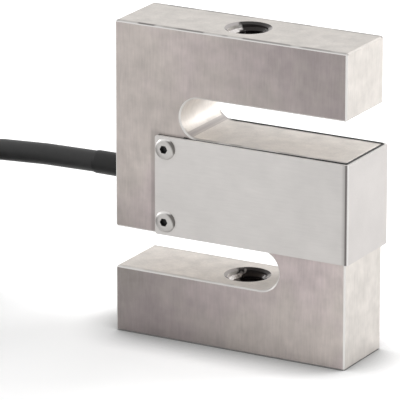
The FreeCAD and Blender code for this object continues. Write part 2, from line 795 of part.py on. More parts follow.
def make_spare_cable():
    for label, route in (("cable_lead", LEAD_ROUTE), ("cable_tail", TAIL_ROUTE)):
        _, radii = tubes(label, [route], size["cable_diameter"], CABLE_SIDES)
        print(label, "bend radii", [round(r, 1) for r in radii[0]])
    tubes("end_sleeve", [END_SLEEVE_ROUTE], size["end_sleeve_diameter"], CABLE_SIDES)

    half = (size["coil_columns"] - 1) / 2 * size["coil_column_pitch"] + size["cable_diameter"] / 2
    height = (size["coil_turns_high"] - 1) * size["coil_turn_pitch"] + size["cable_diameter"]
    bevel = size["cable_diameter"] / 4
    section = [
        (-half + bevel, 0),
        (half - bevel, 0),
        (half, bevel),
        (half, height - bevel),
        (half - bevel, height),
        (-half + bevel, height),
        (-half, height - bevel),
        (-half, bevel),
    ]
    centre = Vector(size["coil_x"], size["coil_y"], 0)
    spots = [centre + Vector(size["coil_radius"] + r, 0, z) for r, z in section]
    ring = Part.Face(Part.makePolygon(spots + spots[:1]))
    coil = doc.addObject("Part::Feature", "cable_coil")
    coil.Shape = ring.revolve(centre, Vector(0, 0, 1), 360)
    node(coil, "cable_coil")


def make_end_leads():
    """Four leads and the shield's tail fan out along the top of the coil, each with a tinned tip."""
    start = Vector(*END_SLEEVE_ROUTE[-1])
    heading = (start - Vector(*END_SLEEVE_ROUTE[-2])).normalize()
    outward = heading.cross(Vector(0, 0, 1))
    centre = start - outward * size["lead_bend_radius"]
    thick = size["lead_diameter"]
    coil_top = (size["coil_turns_high"] - 1) * size["coil_turn_pitch"] + size["cable_diameter"]
    rest = coil_top + thick / 2 + size["lead_lift"]
    tips = []
    for index, colour in enumerate(END_LEADS):
        spread = index - (len(END_LEADS) - 1) / 2
        # inside the end sleeve the leads sit in two rows, one above the other
        begin = start + heading * size["lead_end_gap"] + outward * spread * size["lead_pitch"]
        begin.z += size["lead_row_rise"] * (-1) ** index
        points = [begin]
        for turn, spacing in LEAD_FAN:
            angle = math.radians(turn)
            ray = outward * math.cos(angle) + heading * math.sin(angle)
            spot = centre + ray * (size["lead_bend_radius"] + spread * spacing * thick)
            points.append(Vector(spot.x, spot.y, rest))
        points[1].z = (points[1].z + begin.z) / 2
        tubes(f"lead_{colour}", [[tuple(p) for p in points]], thick, WIRE_SIDES)
        along = (points[-1] - points[-2]).normalize()
        tips.append((tuple(points[-1]), tuple(points[-1] + along * size["tip_length"])))
    tubes("lead_tips", tips, size["tip_diameter"], WIRE_SIDES)


# --------------------------------------------------------------------------- build and write


def check(thing):
    states = {"Invalid", "Error"} & set(thing.State)
    assert not states, f"{thing.Label} is {states}"


make_spring_body()
make_cover()
make_gasket()
for screw_label, screw_side, screw_sign in (
    ("cover_screw_front_upper", 1, 1),
    ("cover_screw_front_lower", 1, -1),
    ("cover_screw_rear_upper", -1, 1),
    ("cover_screw_rear_lower", -1, -1),
):
    make_screw(screw_label, screw_side, screw_sign)
make_gauges()
make_board()
make_cable_entry()
make_inner_wiring()
make_spare_cable()
make_end_leads()
doc.recompute()

for thing in doc.Objects:
    check(thing)
for thing in nodes:
    assert not thing.Shape.isNull() and thing.Shape.isValid(), f"{thing.Label} has no valid shape"
    assert thing.Shape.Solids, f"{thing.Label} has no solid"

os.makedirs("parts", exist_ok=True)
for thing in nodes:
    thing.Shape.exportStep(f"parts/{thing.Label}.step")
    print(thing.Label, len(thing.Shape.Solids), round(thing.Shape.Volume, 2))
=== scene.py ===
# %% [markdown]
# # An S type load cell on a white table
# A load cell of this kind is one block of steel, cut by two slots into an S. A folded sheet cover
# closes the bores that hold its strain gauges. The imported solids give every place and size, and
# the cells below dress them.

# %% Load the solids
import math

import bmesh
import bpy
from mathutils import Matrix, Vector


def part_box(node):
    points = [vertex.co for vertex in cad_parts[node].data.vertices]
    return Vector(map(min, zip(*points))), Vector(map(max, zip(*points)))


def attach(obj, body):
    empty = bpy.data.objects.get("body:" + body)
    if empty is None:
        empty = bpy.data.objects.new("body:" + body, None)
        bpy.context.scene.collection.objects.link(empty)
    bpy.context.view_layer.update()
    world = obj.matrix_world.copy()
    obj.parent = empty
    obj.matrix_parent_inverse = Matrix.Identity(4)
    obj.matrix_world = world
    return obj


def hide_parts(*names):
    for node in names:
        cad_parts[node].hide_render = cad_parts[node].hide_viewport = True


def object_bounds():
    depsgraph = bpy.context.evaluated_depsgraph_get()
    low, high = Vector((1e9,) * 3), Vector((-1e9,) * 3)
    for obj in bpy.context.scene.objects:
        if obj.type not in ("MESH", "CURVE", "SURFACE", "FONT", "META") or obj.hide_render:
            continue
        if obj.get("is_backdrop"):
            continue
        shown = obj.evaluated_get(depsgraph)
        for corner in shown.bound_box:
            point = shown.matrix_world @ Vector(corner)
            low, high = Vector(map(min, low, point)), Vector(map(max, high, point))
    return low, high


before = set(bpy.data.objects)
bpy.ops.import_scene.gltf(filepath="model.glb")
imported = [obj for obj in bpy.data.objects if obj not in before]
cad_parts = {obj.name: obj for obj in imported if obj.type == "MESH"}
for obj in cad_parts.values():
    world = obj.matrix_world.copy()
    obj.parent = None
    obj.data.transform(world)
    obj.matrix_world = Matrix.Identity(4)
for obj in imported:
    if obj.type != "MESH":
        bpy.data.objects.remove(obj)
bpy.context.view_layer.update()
MM = 0.001
scene = bpy.context.scene
scene.view_settings.view_transform = "Standard"

# %% [markdown]
# ## Camera
# A product is often taken from far off with a long lens, so that its edges stay nearly parallel.
# The camera could be a matrix. An azimuth, a height above the horizon, a distance and a look-at
# point are easier to read and to change.

# %% Place the camera


def add_object(name, data):
    made = bpy.data.objects.new(name, data)
    scene.collection.objects.link(made)
    return made


VIEW_AZIMUTH, VIEW_ELEVATION = math.radians(29.16), math.radians(17.45)
VIEW_DISTANCE = 0.950
LOOK_AT = Vector((-10.7, 0, 27.03)) * MM
LENS, SENSOR_WIDTH = 436.0, 36
level = math.cos(VIEW_ELEVATION)
right, back = math.sin(VIEW_AZIMUTH) * level, -math.cos(VIEW_AZIMUTH) * level
backwards = Vector((right, back, math.sin(VIEW_ELEVATION)))
camera_data = bpy.data.cameras.new("camera")
camera_data.lens, camera_data.sensor_width = LENS, SENSOR_WIDTH
camera_data.clip_start, camera_data.clip_end = 0.1, 20
camera = add_object("camera", camera_data)
camera.location = LOOK_AT + backwards * VIEW_DISTANCE
camera.rotation_mode = "QUATERNION"
camera.rotation_quaternion = (-backwards).to_track_quat("-Z", "Y")
scene.camera = camera
print("camera", [round(v, 3) for v in camera.location])

# %% [markdown]
# ## Building with nodes
# Finishes and repeated pieces are small networks of nodes. They could be wired line by line, but
# four helpers are shorter: one makes a node and sets its sockets, two do sums on numbers and on
# vectors, and one starts a node group with named sockets.

# %% Node helpers


def node(tree, kind, inputs=None, **settings):
    """Makes a node. An input is a plain value, a socket, or a node for its first output."""
    made = tree.nodes.new(kind)
    for name, value in settings.items():
        setattr(made, name, value)
    for name, value in (inputs or {}).items():
        if isinstance(value, bpy.types.Node):
            value = value.outputs[0]
        if isinstance(value, bpy.types.NodeSocket):
            tree.links.new(value, made.inputs[name])
        else:
            made.inputs[name].default_value = value
    return made


def calc(tree, operation, *values):
    """A Math node on one to three values."""
    return node(tree, "ShaderNodeMath", dict(enumerate(values)), operation=operation).outputs[0]


def calc_xyz(tree, operation, first, second=None):
    """A Vector Math node, and its number where the operation gives one."""
    inputs = {0: first}
    if second is not None:
        inputs["Scale" if operation == "SCALE" else 1] = second
    made = node(tree, "ShaderNodeVectorMath", inputs, operation=operation)
    return made.outputs["Value" if operation in ("LENGTH", "DOT_PRODUCT") else "Vector"]


def new_tree(kind, name, inputs, outputs):
    """A node group. Inputs are given as name, type and value, and outputs as name and type."""
    tree = bpy.data.node_groups.new(name, kind)
    make = tree.interface.new_socket
    for title, socket_type, value in inputs:
        socket = make(title, in_out="INPUT", socket_type="NodeSocket" + socket_type)
        if value is not None:
            socket.default_value = value
    for title, socket_type in outputs:
        make(title, in_out="OUTPUT", socket_type="NodeSocket" + socket_type)
    print("group", name, "takes", [title for title, *_ in inputs])
    return tree, node(tree, "NodeGroupInput").outputs


# %% [markdown]
# ## Masks and colours
# A finish changes from place to place. It could follow a painted image, but sums on the object's
# own coordinates stay sharp at any size. A ramp turns a measure into a mask from 0 to 1, masks are
# multiplied to narrow them, and a colour is laid over another through a mask.

# %% Mask helpers


def rgb(red, green, blue):
    return (red, green, blue, 1.0)


def object_place(tree):
    return node(tree, "ShaderNodeTexCoord").outputs["Object"]


def split(tree, place):
    return node(tree, "ShaderNodeSeparateXYZ", {0: place}).outputs


def joined(tree, **parts):
    return node(tree, "ShaderNodeCombineXYZ", parts).outputs[0]


def ramp(tree, value, start, end, low=0.0, high=1.0):
    """A value mapped from a range to another, and clamped there."""
    inputs = {"Value": value, "From Min": start, "From Max": end, "To Min": low, "To Max": high}
    return node(tree, "ShaderNodeMapRange", inputs).outputs["Result"]


def between(tree, value, start, full, fade, end):
    """A band: 0 up to start, 1 from full to fade, and 0 again from end."""
    return times(tree, ramp(tree, value, start, full), ramp(tree, value, end, fade))


def times(tree, first, *others):
    """The product of values. Of masks, it is 1 only where all of them are."""
    product = first
    for other in others:
        product = calc(tree, "MULTIPLY", product, other)
    return product


def noise(tree, place, scale, detail=2.0, roughness=0.5):
    inputs = {"Vector": place, "Scale": scale, "Detail": detail, "Roughness": roughness}
    return node(tree, "ShaderNodeTexNoise", inputs).outputs["Fac"]


def overlay(tree, base, tone, mask):
    """A colour laid over another where a mask says."""
    base, tone = (
        colour if isinstance(colour, bpy.types.NodeSocket) else rgb(*colour)
        for colour in (base, tone)
    )
    mixed = node(tree, "ShaderNodeMix", {0: mask, 6: base, 7: tone}, data_type="RGBA")
    return mixed.outputs[2]


# %% [markdown]
# ## Table
# The table is plain and pale. Strong lamps could make it white, but they would bleach the steel. So
# it glows a little for the camera and for reflections, and its matte part still takes the soft
# shadow. An ambient occlusion node also darkens its colour and glow near the block's foot: a
# painted shade.

# %% Table
FLOOR_SIZE = 6.0
FLOOR_COLOUR = (0.90, 0.90, 0.90)
FLOOR_GLOW = 0.38
CONTACT_REACH, CONTACT_DEPTH = 0.011, 1.4
# the painted shade at the foot fades out between these two, towards the cable
CONTACT_FADE, CONTACT_FULL = -46 * MM, -32 * MM


def seen_directly(tree):
    """1 for rays from the camera, a reflection or through glass, and 0 for light that bounces."""
    path = node(tree, "ShaderNodeLightPath").outputs
    either = calc(tree, "MAXIMUM", path["Is Camera Ray"], path["Is Glossy Ray"])
    return calc(tree, "MAXIMUM", either, path["Is Transmission Ray"])


def table_material():
    material = bpy.data.materials.new("white_table")
    material.use_nodes = True
    tree = material.node_tree
    tree.nodes.clear()
    # painted shade: an ambient occlusion node darkens the floor's colour and glow near the block
    corner = node(tree, "ShaderNodeAmbientOcclusion", {"Distance": CONTACT_REACH})
    deep = calc(tree, "POWER", corner.outputs["AO"], CONTACT_DEPTH)
    across = split(tree, object_place(tree))["X"]
    contact_shade = ramp(tree, across, CONTACT_FADE, CONTACT_FULL, 1.0, deep)
    shade = calc_xyz(tree, "SCALE", FLOOR_COLOUR, contact_shade)
    matte = node(tree, "ShaderNodeBsdfDiffuse", {"Color": shade})
    level = times(tree, seen_directly(tree), FLOOR_GLOW, contact_shade)
    glow = node(tree, "ShaderNodeEmission", {"Color": rgb(1, 1, 1), "Strength": level})
    both = node(tree, "ShaderNodeAddShader", {0: matte, 1: glow})
    node(tree, "ShaderNodeOutputMaterial", {"Surface": both})
    return material


half = FLOOR_SIZE / 2
floor_mesh = bpy.data.meshes.new("table")
floor_mesh.from_pydata(
    [(-half, -half, 0), (half, -half, 0), (half, half, 0), (-half, half, 0)], [], [(0, 1, 2, 3)]
)
floor_mesh.materials.append(table_material())
table = add_object("table", floor_mesh)
table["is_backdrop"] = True
print("table", FLOOR_SIZE, "m wide")

# %% [markdown]
# ## World and lamps
# In a studio this would be a tent of white cloth with soft boxes round it. The world is the tent:
# white where it is seen, a little dimmer as light. Four area lamps are the boxes. They stay weak,
# so that pale steel keeps its colour, and the one behind reaches into the slots.

# %% World and lamps
WORLD_LIGHT = 0.63
LAMPS = (
    # name, place, width, height, power in watts
    ("top_box", (0.05, 0.34, 0.80), 0.7, 0.5, 0.6),
    ("right_box", (0.80, 0.10, 0.14), 0.4, 0.3, 0.5),
    ("slot_box", (0.40, 0.42, 0.24), 0.3, 0.2, 2.0),
    ("left_box", (-0.55, 0.06, 0.20), 0.3, 0.2, 1.5),
)
LAMPS_AIM = Vector((0, 0, 30)) * MM

world = bpy.data.worlds.new("studio")
scene.world = world
world.use_nodes = True
sky_tree = world.node_tree
sky_tree.nodes.clear()
sky_level = ramp(sky_tree, seen_directly(sky_tree), 0.0, 1.0, WORLD_LIGHT, 1.0)
sky = node(sky_tree, "ShaderNodeBackground", {"Color": rgb(1, 1, 1), "Strength": sky_level})
node(sky_tree, "ShaderNodeOutputWorld", {"Surface": sky})
for name, place, width, height, power in LAMPS:
    lamp = bpy.data.lights.new(name, "AREA")
    lamp.shape, lamp.size, lamp.size_y, lamp.energy = "RECTANGLE", width, height, power
    lamp_object = add_object(name, lamp)
    lamp_object.location = place
    lamp_object.rotation_euler = (LAMPS_AIM - Vector(place)).to_track_quat("-Z", "Y").to_euler()
print("lamps", len(LAMPS), "watts", round(sum(lamp[-1] for lamp in LAMPS), 2))

# %% [markdown]
# ## The cable's way
# The cable is one length of soft black PVC, about three metres long. It leaves the cell straight,
# droops to the side, and its spare length lies in a neat coil. The loose stretches are listed
# points. The coil's turns follow a rule, columns wound down and up in turn, so a loop works them
# out.

# %% Route of the cable
CABLE_DIAMETER = 4.3
SLEEVE_EXIT = (-34.1, 0, 31.5)
LEAD_ROUTE = (SLEEVE_EXIT, (-59, 0, 31.5), (-83, 0, 25.4), (-100.6, -5.85, 23.9))
TAIL_ROUTE = ((-98.55, -45.07, 24.3), (-88.75, -49.13, 24.3), (-78.16, -48.66, 24.3))
COIL_CENTRE = Vector((-84.5, -25, 0))
# places on and over the coil: angle, radius and height
ARRIVAL = ((155, 26.6, 23.9), (180, 28.6, 23.2), (205, 30.2, 21.4))
CLIMB = ((192, 20.6, 20.4), (213, 22.8, 23.4))
OUTER_RADIUS, COLUMN_PITCH, TURN_PITCH = 30.655, 3.77, 4.35
# each column's turns, and whether it is wound from the top down
COLUMNS = ((5, True), (4, False), (5, True), (4, False))
POINTS_PER_TURN, JOG_POINTS, CLIMB_POINTS = 15, 3, 3
COIL_START = 230
# a curve of order 3 runs inside its control points, so they lie a little further out
CONTROL_SWELL = 1 / math.cos(math.pi / POINTS_PER_TURN)


def coil_spot(angle, radius, height):
    swollen = radius * CONTROL_SWELL
    turned = math.radians(angle)
    return COIL_CENTRE + Vector((swollen * math.cos(turned), swollen * math.sin(turned), height))


def coil_levels():
    """Radius and height of each turn, in the order in which it is wound."""
    levels = []
    for column, (turns, downwards) in enumerate(COLUMNS):
        nested = TURN_PITCH / 2 if turns == COLUMNS[1][0] else 0
        heights = [CABLE_DIAMETER / 2 + nested + TURN_PITCH * k for k in range(turns)]
        if downwards:
            heights.reverse()
        levels += [(OUTER_RADIUS - column * COLUMN_PITCH, height) for height in heights]
    return levels


def coil_points():
    """Level turns, each stepping to the next over its last few points."""
    levels, points = coil_levels(), []
    for index, (radius, height) in enumerate(levels):
        next_radius, next_height = levels[min(index + 1, len(levels) - 1)]
        for step in range(POINTS_PER_TURN):
            share = max(0, step - (POINTS_PER_TURN - JOG_POINTS)) / JOG_POINTS
            angle = COIL_START + 360 * step / POINTS_PER_TURN
            across = radius + share * (next_radius - radius)
            points.append(coil_spot(angle, across, height + share * (next_height - height)))
    return points


# the last turn stops short and climbs over its neighbour to the tail
coil = coil_points()[:-CLIMB_POINTS]
arrival, climb = ([coil_spot(*spot) for spot in spots] for spots in (ARRIVAL, CLIMB))
route = [Vector(p) for p in LEAD_ROUTE] + arrival + coil + climb + [Vector(p) for p in TAIL_ROUTE]
print("cable control points", len(route))

# %% [markdown]
# ## The cable's jacket
# A hose could be swept as a mesh, but a NURBS curve suits it better. A few control points give one
# smooth line, and its bevel gives a round jacket. The same curve with no bevel is the centreline.

# %% Cable


def nurbs_tube(name, points, diameter, resolution=4, sides=6):
    """A round tube on one open NURBS spline through millimetre points."""
    data = bpy.data.curves.new(name, "CURVE")
    data.dimensions = "3D"
    data.bevel_depth, data.bevel_resolution = diameter / 2 * MM, sides
    data.use_fill_caps = True
    data.resolution_u = resolution
    spline = data.splines.new("NURBS")
    spline.points.add(len(points) - 1)
    for control, point in zip(spline.points, points):
        control.co = (*(Vector(point) * MM), 1)
    spline.order_u = 3
    spline.use_endpoint_u = True
    return add_object(name, data)


def as_mesh(thing):
    """Replaces an object by a plain smooth mesh of what its modifiers or bevel make."""
    graph = bpy.context.evaluated_depsgraph_get()
    mesh = bpy.data.meshes.new_from_object(thing.evaluated_get(graph))
    name = thing.name
    bpy.data.objects.remove(thing)
    for polygon in mesh.polygons:
        polygon.use_smooth = True
    return add_object(name, mesh)


def centreline(points):
    """Points along the spline itself."""
    thin = as_mesh(nurbs_tube("centreline", points, 0))
    spots = [tuple(vertex.co) for vertex in thin.data.vertices]
    bpy.data.objects.remove(thin)
    return spots


cable_path = centreline(route)
cable = as_mesh(nurbs_tube("cable", route, CABLE_DIAMETER))
path_length = sum((Vector(b) - Vector(a)).length for a, b in zip(cable_path, cable_path[1:]))
print("points along the cable", len(cable_path), "length", round(path_length, 3))

# %% [markdown]
# ## Loose leads
# Where the jacket ends, four coloured leads and the shield's tail fan out over the coil. They are
# thin tubes of the same kind. They could be drawn one by one, but each follows part of a circle,
# so a loop works out its points.

# %% End leads
LEAD_COLOURS = ("red", "black", "green", "white", "shield")
SLEEVE_LAST = (Vector((-72.6654, -48.4161, 24.3)), Vector((-67.0, -46.5, 24.3)))
LEAD_DIAMETER, LEAD_BEND_RADIUS, LEAD_LIFT = 1.0, 14.5, 0.05
LEAD_PITCH, LEAD_ROW_RISE, LEAD_END_GAP = 0.9, 0.55, 0.3
LEAD_RESOLUTION, LEAD_SIDES = 8, 4
# how far each point is turned round the fan, and how far apart the leads lie there
LEAD_FAN = ((18, 1.3), (45, 1.5), (75, 1.9), (105, 2.3))
COIL_TOP = 4 * TURN_PITCH + CABLE_DIAMETER


def lead_points(index):
    start = SLEEVE_LAST[1]
    heading = (start - SLEEVE_LAST[0]).normalized()
    outward = heading.cross(Vector((0, 0, 1)))
    centre = start - outward * LEAD_BEND_RADIUS
    spread = index - (len(LEAD_COLOURS) - 1) / 2
    begin = start + heading * LEAD_END_GAP + outward * spread * LEAD_PITCH
    begin.z += LEAD_ROW_RISE * (-1) ** index
    points = [begin]
    for turn, spacing in LEAD_FAN:
        angle = math.radians(turn)
        ray = outward * math.cos(angle) + heading * math.sin(angle)
        spot = centre + ray * (LEAD_BEND_RADIUS + spread * spacing)
        points.append(Vector((spot.x, spot.y, COIL_TOP + LEAD_DIAMETER / 2 + LEAD_LIFT)))
    points[1].z = (points[1].z + begin.z) / 2
    return points


leads = {}
for lead_index, colour in enumerate(LEAD_COLOURS):
    points = lead_points(lead_index)
    lead = as_mesh(nurbs_tube(f"wire_{colour}", points, LEAD_DIAMETER, LEAD_RESOLUTION, LEAD_SIDES))
    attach(lead, "root")
    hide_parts(f"lead_{colour}")
    leads[colour] = lead
print("leads", list(leads))

# %% [markdown]
# ## Coil tie
# A soft strap holds the coil. It is a flat band bent round the bundle's section, away from both
# ends of the cable. It could be a curve with a flat profile. Here a closed loop of points is
# stretched to the strap's width, and a Solidify modifier gives it a wall of even thickness.

# %% Coil tie
TIE_ANGLE, TIE_WIDTH, TIE_THICKNESS, TIE_CORNER = 330, 4.0, 0.6, 3.0
BUNDLE_INNER, BUNDLE_OUTER = 17.2, 32.8
TIE_SLACK, TIE_FOOT, TIE_STEPS = 0.3, 0.7, 6


def quarter(x, y, radius, first, steps):
    """Points of a quarter circle round a centre, from an angle on."""
    angles = [math.radians(first + 90 * step / steps) for step in range(steps + 1)]
    return [(x + radius * math.cos(angle), y + radius * math.sin(angle)) for angle in angles]


def rounded_loop(low_x, high_x, low_z, high_z, corner):
    """Points of a rectangle with round corners, anticlockwise."""
    corners = (
        (high_x - corner, low_z + corner, -90),
        (high_x - corner, high_z - corner, 0),
        (low_x + corner, high_z - corner, 90),
        (low_x + corner, low_z + corner, 180),
    )
    return [spot for x, z, first in corners for spot in quarter(x, z, corner, first, TIE_STEPS)]


def make_tie():
    ray = Vector((math.cos(math.radians(TIE_ANGLE)), math.sin(math.radians(TIE_ANGLE)), 0))
    across = Vector((-ray.y, ray.x, 0))
    inner, outer = BUNDLE_INNER - TIE_SLACK, BUNDLE_OUTER + TIE_SLACK
    loop = rounded_loop(inner, outer, TIE_FOOT, COIL_TOP + TIE_SLACK, TIE_CORNER)
    mesh = bmesh.new()
    rings = []
    for side in (-0.5, 0.5):
        ring = []
        for radius, height in loop:
            spot = COIL_CENTRE + ray * radius + across * side * TIE_WIDTH
            ring.append(mesh.verts.new((spot + Vector((0, 0, height))) * MM))
        rings.append(ring)
    for k in range(len(loop)):
        after = (k + 1) % len(loop)
        mesh.faces.new((rings[0][k], rings[0][after], rings[1][after], rings[1][k]))
    bmesh.ops.recalc_face_normals(mesh, faces=mesh.faces)
    data = bpy.data.meshes.new("coil_tie")
    mesh.to_mesh(data)
    mesh.free()
    tie = add_object("coil_tie", data)
    wall = tie.modifiers.new("wall", "SOLIDIFY")
    wall.thickness, wall.offset = TIE_THICKNESS * MM, 0
    return as_mesh(tie)


coil_tie = make_tie()
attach(coil_tie, "root")
print("tie faces", len(coil_tie.data.polygons))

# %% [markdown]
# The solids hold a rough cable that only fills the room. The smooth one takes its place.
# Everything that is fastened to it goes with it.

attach(cable, "root")
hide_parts("cable_lead", "cable_coil", "cable_tail")

# %% [markdown]
# ## Machined finish
# Steel that was cut and ground is a little mottled, with fine streaks along the way of the tool. An
# image could hold both, but noise on the object's own coordinates has no seams: one round, one
# pulled out long. Body, cover, screws and threads all use this group, with their own values.

# %% Machined finish group
ROUGHNESS_SHARE = 0.3
MOTTLE_DETAIL, STREAK_DETAIL, MARK_ROUGHNESS = 2.5, 3.0, 0.55
FINISH_RESULTS = (("Color", "Color"), ("Roughness", "Float"), ("Height", "Float"))


def varied(group, base, change, roughness, roughness_share):
    """A colour and a roughness that both follow one change about 0."""
    colour = calc_xyz(group, "SCALE", base, calc(group, "ADD", change, 1.0))
    return colour, calc(group, "MULTIPLY_ADD", change, roughness_share, roughness)


def machined_group():
    group, given = new_tree(
        "ShaderNodeTree",
        "machined_finish",
        (
            ("Mottle Scale", "Float", 160.0),
            ("Mottle Amount", "Float", 0.1),
            ("Streak Amount", "Float", 0.1),
            ("Roughness", "Float", 0.4),
            ("Base", "Color", rgb(0.5, 0.5, 0.5)),
            ("Stretch", "Vector", (3000, 3000, 160)),
        ),
        FINISH_RESULTS,
    )
    place = object_place(group)
    mottle = noise(group, place, given["Mottle Scale"], MOTTLE_DETAIL, MARK_ROUGHNESS)
    pulled = calc_xyz(group, "MULTIPLY", place, given["Stretch"])
    streak = noise(group, pulled, 1.0, STREAK_DETAIL, MARK_ROUGHNESS)
    soft = times(group, calc(group, "SUBTRACT", mottle, 0.5), given["Mottle Amount"])
    fine = times(group, calc(group, "SUBTRACT", streak, 0.5), given["Streak Amount"])
    change = calc(group, "ADD", soft, fine)
    colour, rough = varied(group, given["Base"], change, given["Roughness"], ROUGHNESS_SHARE)
    node(group, "NodeGroupOutput", {"Color": colour, "Roughness": rough, "Height": streak})
    return group


MACHINED = machined_group()

# %% [markdown]
# ## From finish to material
# The shader is the same for every finish: a Principled BSDF that takes its colour and roughness
# from a group, and its relief through a Bump node. It stays in the material, where its constants
# are easy to find. Effects of one piece only are laid over the colour afterwards.

# %% Materials from finishes
RELIEF_DISTANCE = 0.00005


def finished(name, group, bump, values, **shader_values):
    """A material with a finish group. Spaces in a shader socket's name are written as _."""
    material = bpy.data.materials.new(name)
    material.use_nodes = True
    tree = material.node_tree
    sockets = tree.nodes["Principled BSDF"].inputs
    for socket, value in shader_values.items():
        sockets[socket.replace("_", " ")].default_value = value
    made = node(tree, "ShaderNodeGroup", values, node_tree=group).outputs
    marks = {"Height": made["Height"], "Strength": bump, "Distance": RELIEF_DISTANCE}
    relief = node(tree, "ShaderNodeBump", marks)
    tree.links.new(made["Color"], sockets["Base Color"])
    tree.links.new(made["Roughness"], sockets["Roughness"])
    tree.links.new(relief.outputs["Normal"], sockets["Normal"])
    print("finish", name)
    return material


def machined_steel(name, base, metallic, roughness, mottle, streak, stretch, bump, scale=160.0):
    """A metal whose colour and roughness come from the machined finish."""
    values = {"Mottle Scale": scale, "Mottle Amount": mottle, "Streak Amount": streak}
    values |= {"Roughness": roughness, "Base": rgb(*base), "Stretch": stretch}
    return finished(name, MACHINED, bump, values, Metallic=metallic)


def recolour(material, *effects):
    """Passes a material's base colour through effects, each of its tree and the colour so far."""
    tree = material.node_tree
    socket = tree.nodes["Principled BSDF"].inputs["Base Color"]
    colour = socket.links[0].from_socket
    for effect in effects:
        colour = effect(tree, colour)
    tree.links.new(colour, socket)
    print(material.name, "nodes", len(tree.nodes))


# %% [markdown]
# ## Faces by direction
# Much of a metal part's finish depends on which way a face points: a ground front, a broken edge
# half way between two faces, a fold. Faces could be marked by hand, but their own normals tell them
# apart. This mask serves the body and the cover, so it is a node group too.

# %% Facing group
AXES = {"X": (1, 0, 0), "Y": (0, 1, 0), "Z": (0, 0, 1)}
# limits that no face reaches, for a mask that is open at one end
NO_START, NO_END = (-2.0, -1.0), (2.0, 3.0)
LIMITS = {"Start": 0.9, "Full": 1.0, "Fade": NO_END[0], "End": NO_END[1]}


def facing_group():
    inputs = [("Axis", "Vector", AXES["Z"])]
    inputs += [(name, "Float", value) for name, value in LIMITS.items()]
    group, given = new_tree("ShaderNodeTree", "faces_towards", inputs, (("Mask", "Float"),))
    normal = node(group, "ShaderNodeNewGeometry").outputs["True Normal"]
    lean = calc(group, "ABSOLUTE", calc_xyz(group, "DOT_PRODUCT", normal, given["Axis"]))
    mask = between(group, lean, *(given[name] for name in LIMITS))
    node(group, "NodeGroupOutput", {"Mask": mask})
    return group


FACING = facing_group()


def facing(tree, axis, start, full, fade=NO_END[0], end=NO_END[1]):
    """A band over how far a face's normal leans along an axis, either way."""
    values = {"Axis": AXES[axis]} | dict(zip(LIMITS, (start, full, fade, end)))
    return node(tree, "ShaderNodeGroup", values, node_tree=FACING).outputs["Mask"]


# %% [markdown]
# ## The block's ground faces
# The block is sawn from plate, so its front and back keep a darker ground skin, and every face that
# is cut later is brighter. The skin is also made lighter towards two opposite corners and in the
# middle of its height, a painted light and shade, and oil browned it in places. That could be
# painted on, but sums on the object's own coordinates keep front and back alike.

# %% Body steel
UPRIGHT_STREAKS = (2600, 2600, 260)
body_steel = machined_steel(
    "body_steel",
    (0.60, 0.565, 0.53),
    metallic=0.35,
    roughness=0.48,
    mottle=0.50,
    streak=0.28,
    stretch=UPRIGHT_STREAKS,
    bump=0.04,
    scale=300.0,
)
SKIN_COOL, SKIN_WARM = (0.815, 0.75, 0.79), (0.80, 0.765, 0.765)
SKIN_PATCH_SCALE = 70.0
body_low, body_high = (Vector(corner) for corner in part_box("spring_body"))
MIDDLE_HEIGHT = (body_low.z + body_high.z) / 2
# the slant is full where the distances from the two middle lines multiply to this
SLANT_REACH = 420e-6
SLANT_TONES = (0.77, 1.25)
MIDDLE_GAIN = 1.25


def ground_skin_and_painted_light(tree, colour):
    x, _, z = split(tree, object_place(tree))
    above = calc(tree, "SUBTRACT", z, MIDDLE_HEIGHT)
    off_middle = calc(tree, "ABSOLUTE", above)
    # painted light and shade: lighter towards two opposite corners and in the middle of the height
    painted_light_gradient = times(
        tree,
        ramp(tree, times(tree, x, above), SLANT_REACH, -SLANT_REACH, *SLANT_TONES),
        ramp(tree, off_middle, 16 * MM, 5 * MM, 1.0, MIDDLE_GAIN),
    )
    patches = noise(tree, object_place(tree), SKIN_PATCH_SCALE, 3.0)
    tint = overlay(tree, SKIN_COOL, SKIN_WARM, ramp(tree, patches, 0.40, 0.60))
    ground = calc_xyz(tree, "SCALE", calc_xyz(tree, "MULTIPLY", colour, tint), painted_light_gradient)
    return overlay(tree, colour, ground, facing(tree, "Y", 0.9, 0.97))


# %% [markdown]
# ## The block's edges and slots
# A freshly broken edge slopes half way between two faces, and a painted highlight keeps it bright.
# On its upper lip a painted shade lies dark, in dashes, most of all at the left end of the top. The
# slots' walls are made brighter, a painted light. Beside the cover a dark line is a painted shadow.
# Each could be faces with a material of their own, but a mask can fade.

# %% Edges, slots and painted shade
EDGE_HIGHLIGHT = (0.82, 0.80, 0.78)
LIP_SHADE = (0.10, 0.09, 0.085)
DASH_SCALE = 260.0
SLOT_LIGHT_GAIN = 1.22
COVER_EDGE_SHADE, COVER_EDGE_SHADE_AMOUNT = (0.20, 0.18, 0.175), 0.34


# painted highlight on the block's slanted edge faces
def highlighted_edges(tree, colour):
    return overlay(tree, colour, EDGE_HIGHLIGHT, facing(tree, "Y", 0.4, 0.6, 0.8, 0.9))


# painted shade: a dark dashed line on the top beside the front and back edges
def shaded_lip(tree, colour):
    x, y, z = split(tree, object_place(tree))
    depth = calc(tree, "ABSOLUTE", y)
    normal = node(tree, "ShaderNodeNewGeometry").outputs["True Normal"]
    dashes = noise(tree, object_place(tree), DASH_SCALE, 0.0)
    lip = times(
        tree,
        between(tree, depth, 6.6 * MM, 6.9 * MM, 7.40 * MM, 7.47 * MM),
        ramp(tree, split(tree, normal)["Z"], 0.5, 0.65),
        ramp(tree, x, -25 * MM, 25 * MM, 0.95, 0.55),
        ramp(tree, z, 20 * MM, 60 * MM, 0.25, 1.0),
        ramp(tree, dashes, 0.38, 0.50, 0.35, 1.0),
    )
    return overlay(tree, colour, LIP_SHADE, lip)
